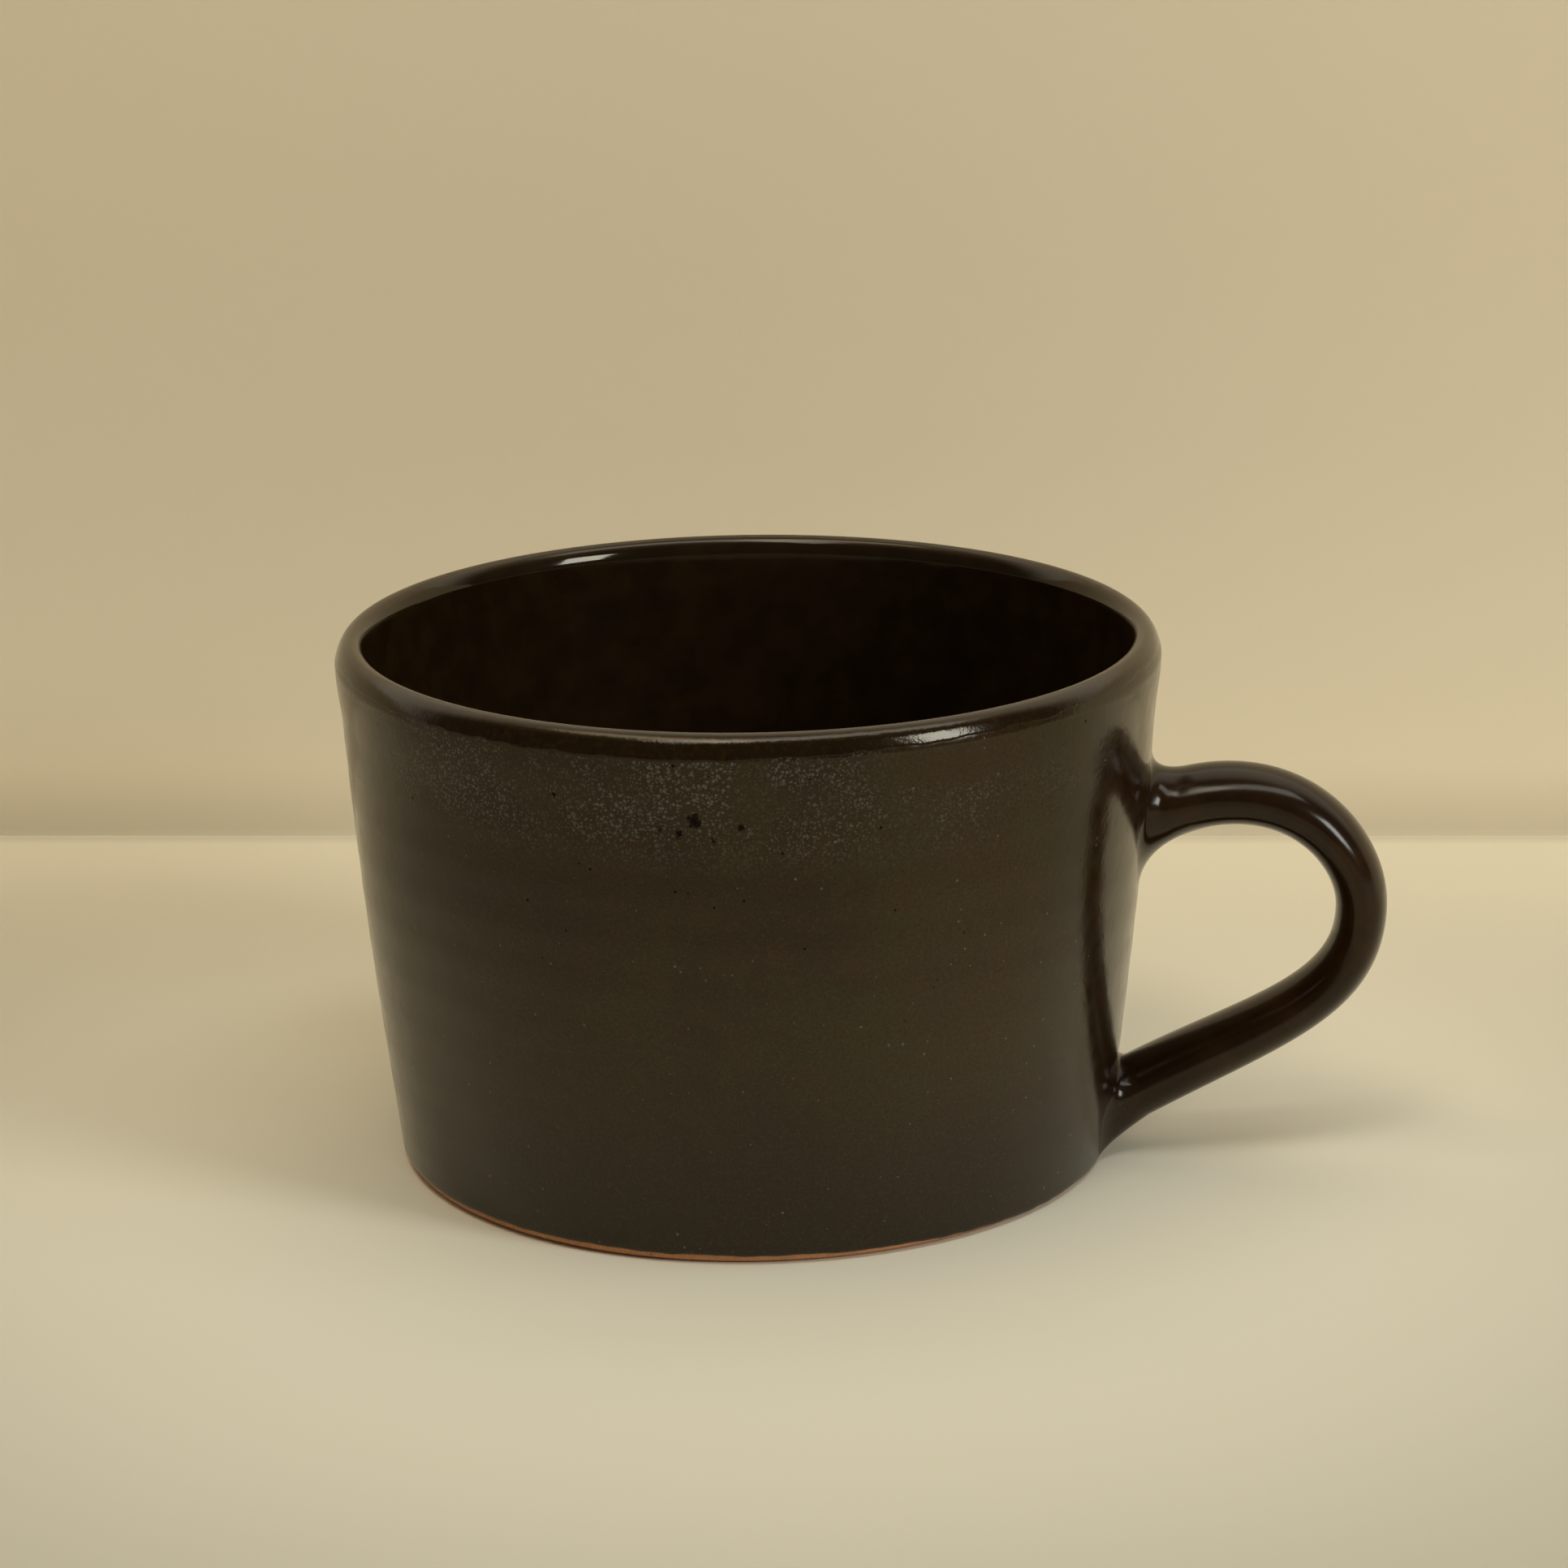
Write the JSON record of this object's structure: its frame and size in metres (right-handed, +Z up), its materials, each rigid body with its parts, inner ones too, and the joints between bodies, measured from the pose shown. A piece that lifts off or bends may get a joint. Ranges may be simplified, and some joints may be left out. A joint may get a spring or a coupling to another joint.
{
  "type": "stoneware mug",
  "caption": "Low, wide stoneware mug with a flared wall, a rounded rim and a pulled loop handle, dark glaze inside and out, bare flat foot.",
  "frame": {"origin": "middle of the flat foot, on the plane that the mug stands on", "axes": "+Z up along the cup's axis, +X from the axis towards the handle, Y across the handle"},
  "size_m": [0.1275, 0.1, 0.0652],
  "materials": {
    "bare_clay": "unglazed fired stoneware, warm tan, dry and finely gritty",
    "liner_glaze": "glossy brown-black glaze, amber where it is thin over the rim",
    "outer_glaze": "satin olive-brown glaze with fine mottling, dark pits and a band of pale crystals below the rim",
    "handle_glaze": "glossy dark brown glaze"
  },
  "bodies": {
    "root": {"cup_body": "bare_clay", "handle": "bare_clay", "upper_join": "bare_clay", "lower_join": "bare_clay", "liner_glaze": "liner_glaze", "outer_glaze": "outer_glaze", "handle_glaze": "handle_glaze"}
  },
  "joints": []
}
